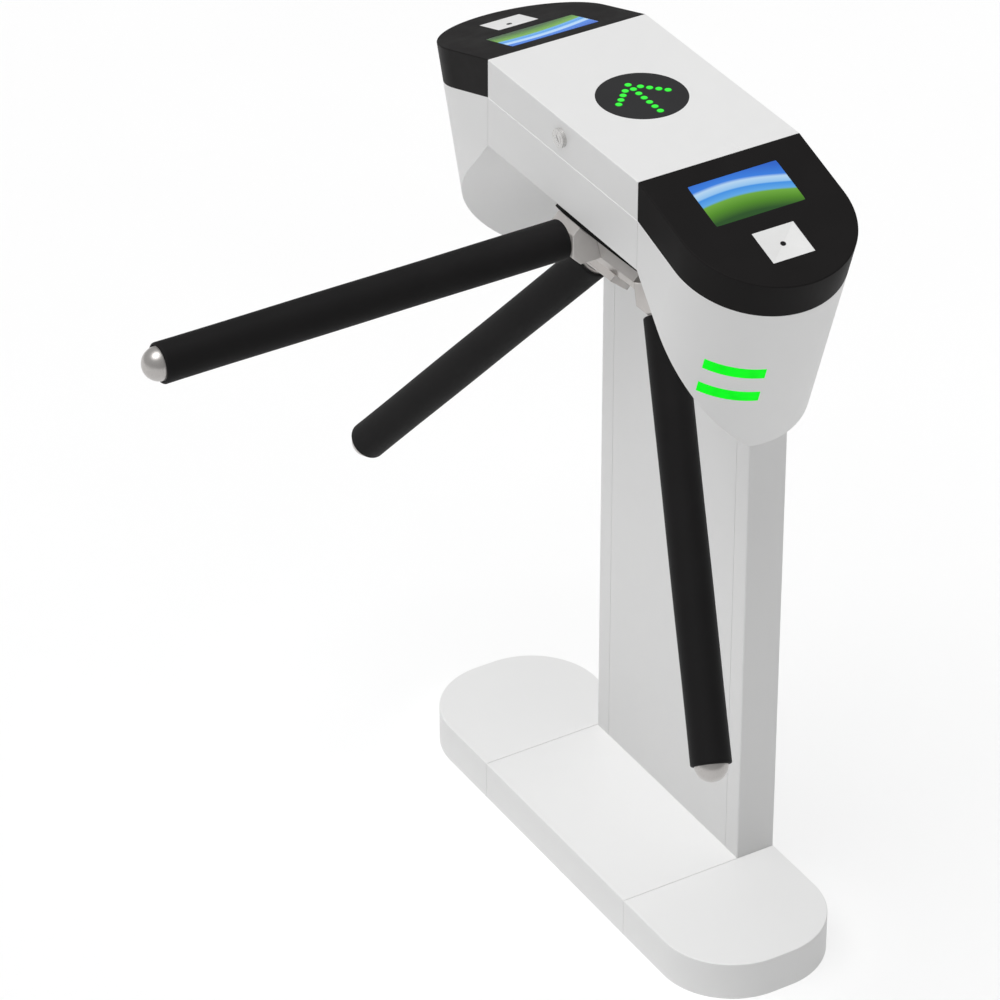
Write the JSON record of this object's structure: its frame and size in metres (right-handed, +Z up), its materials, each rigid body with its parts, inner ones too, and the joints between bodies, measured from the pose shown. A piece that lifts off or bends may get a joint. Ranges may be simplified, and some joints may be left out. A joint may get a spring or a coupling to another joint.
{
  "type": "visitor counter turnstile",
  "caption": "Free-standing tripod-arm turnstile with a slim column, a long head with sloping display ends, a lit direction arrow and foam-sleeved arms.",
  "frame": {"origin": "centre of the floor base's underside, on the floor", "axes": "+Z up, +X along the passage towards the front end of the head, -Y towards the arms"},
  "size_m": [0.7862, 0.7215, 1.0003],
  "materials": {
    "white_paint": "fine powder coat, satin",
    "black_cap": "moulded, satin",
    "display": "glossy screen",
    "reader_white": "satin",
    "reader_eye": "glossy",
    "green_light": "lit, diffusing",
    "dark_lens": "satin",
    "foam": "closed-cell foam, matt",
    "hub_steel": "satin",
    "polished_steel": "polished",
    "black_shroud": "matt",
    "zinc_steel": "zinc plated",
    "gear_steel": "machined",
    "floor_plate": "primed",
    "black_parts": "moulded",
    "circuit_board": "lacquered",
    "rubber_seal": "matt",
    "supply_case": "punched, satin"
  },
  "bodies": {
    "stand": {"base_plate": "floor_plate", "base_centre_cover": "white_paint", "base_front_cover": "white_paint", "base_rear_cover": "white_paint", "cover_posts": "zinc_steel", "column_foot": "zinc_steel", "column_bolts": "zinc_steel", "column_shell": "white_paint", "column_panel": "white_paint", "head_body": "white_paint", "cable_grommet": "rubber_seal", "light_bars": "green_light", "front_cap": "black_cap", "rear_cap": "black_cap", "front_display": "display", "rear_display": "display", "front_reader": "reader_white", "rear_reader": "reader_white", "reader_eyes": "reader_eye", "body_hinge_leaf": "zinc_steel", "hinge_pin": "zinc_steel", "chassis_plate": "zinc_steel", "chassis_studs": "zinc_steel", "bearing_housing": "gear_steel", "housing_bolts": "zinc_steel", "bearings": "gear_steel", "damper": "black_parts", "solenoids": "black_parts", "pawl_pins": "gear_steel", "rear_mechanism_plate": "zinc_steel", "pillars": "zinc_steel", "position_sensor": "black_parts", "power_supply": "supply_case", "control_board": "circuit_board"},
    "lid": {"lid": "white_paint", "indicator_lens": "dark_lens", "indicator_dots": "green_light", "indicator_board": "circuit_board", "lock_housing": "polished_steel", "lid_hinge_leaf": "zinc_steel"},
    "lock": {"lock_plug": "polished_steel", "lock_cam": "zinc_steel"},
    "rotor": {"hub": "hub_steel", "hub_nose": "hub_steel", "rotor_shroud": "black_shroud", "shaft": "gear_steel", "arm_screws": "zinc_steel", "arm_spigots": "zinc_steel", "arm_domes": "polished_steel", "arm_tubes": "hub_steel", "arm_sleeve_1": "foam", "arm_sleeve_2": "foam", "arm_sleeve_3": "foam", "main_gear": "gear_steel", "lock_wheel": "gear_steel"},
    "damper_pinion": {"damper_pinion": "black_parts"},
    "front_pawl": {"front_pawl": "gear_steel"},
    "rear_pawl": {"rear_pawl": "gear_steel"},
    "front_plunger": {"front_plunger": "gear_steel"},
    "rear_plunger": {"rear_plunger": "gear_steel"}
  },
  "joints": [
    {"name": "rotor_turn", "type": "hinge", "parent": "stand", "child": "rotor", "pos_m": [0, 0.01904, 0.85153], "axis": [0, -0.7071, -0.7071], "continuous": true},
    {"name": "pinion_turn", "type": "hinge", "parent": "stand", "child": "damper_pinion", "pos_m": [0.075, 0.01904, 0.85153], "axis": [0, -0.7071, -0.7071], "continuous": true},
    {"name": "front_pawl_swing", "type": "hinge", "parent": "stand", "child": "front_pawl", "pos_m": [0.07, 0.0247, 0.92083], "axis": [0, -0.7071, -0.7071], "range_deg": [-10, 0], "stiffness_Nm_per_rad": 0.05, "springref_deg": 5.73},
    {"name": "rear_pawl_swing", "type": "hinge", "parent": "stand", "child": "rear_pawl", "pos_m": [-0.07, 0.0247, 0.92083], "axis": [0, -0.7071, -0.7071], "range_deg": [0, 10], "stiffness_Nm_per_rad": 0.05, "springref_deg": -5.73},
    {"name": "front_plunger_slide", "type": "slide", "parent": "stand", "child": "front_plunger", "axis": [1, 0, 0], "range_m": [0, 0.0022]},
    {"name": "rear_plunger_slide", "type": "slide", "parent": "stand", "child": "rear_plunger", "axis": [-1, 0, 0], "range_m": [0, 0.0022]},
    {"name": "lid_open", "type": "hinge", "parent": "stand", "child": "lid", "pos_m": [0, 0.1075, 0.953], "axis": [-1, 0, 0], "range_deg": [0, 75]},
    {"name": "lock_turn", "type": "hinge", "parent": "lid", "child": "lock", "pos_m": [0, -0.0989, 0.9785], "axis": [0, 1, 0], "range_deg": [-90, 0]}
  ],
  "couplings": [
    {"joint": "pinion_turn", "follows": "rotor_turn", "ratio": -4},
    {"joint": "front_plunger_slide", "follows": "front_pawl_swing", "m_per_rad": -0.012},
    {"joint": "rear_plunger_slide", "follows": "rear_pawl_swing", "m_per_rad": 0.012}
  ]
}
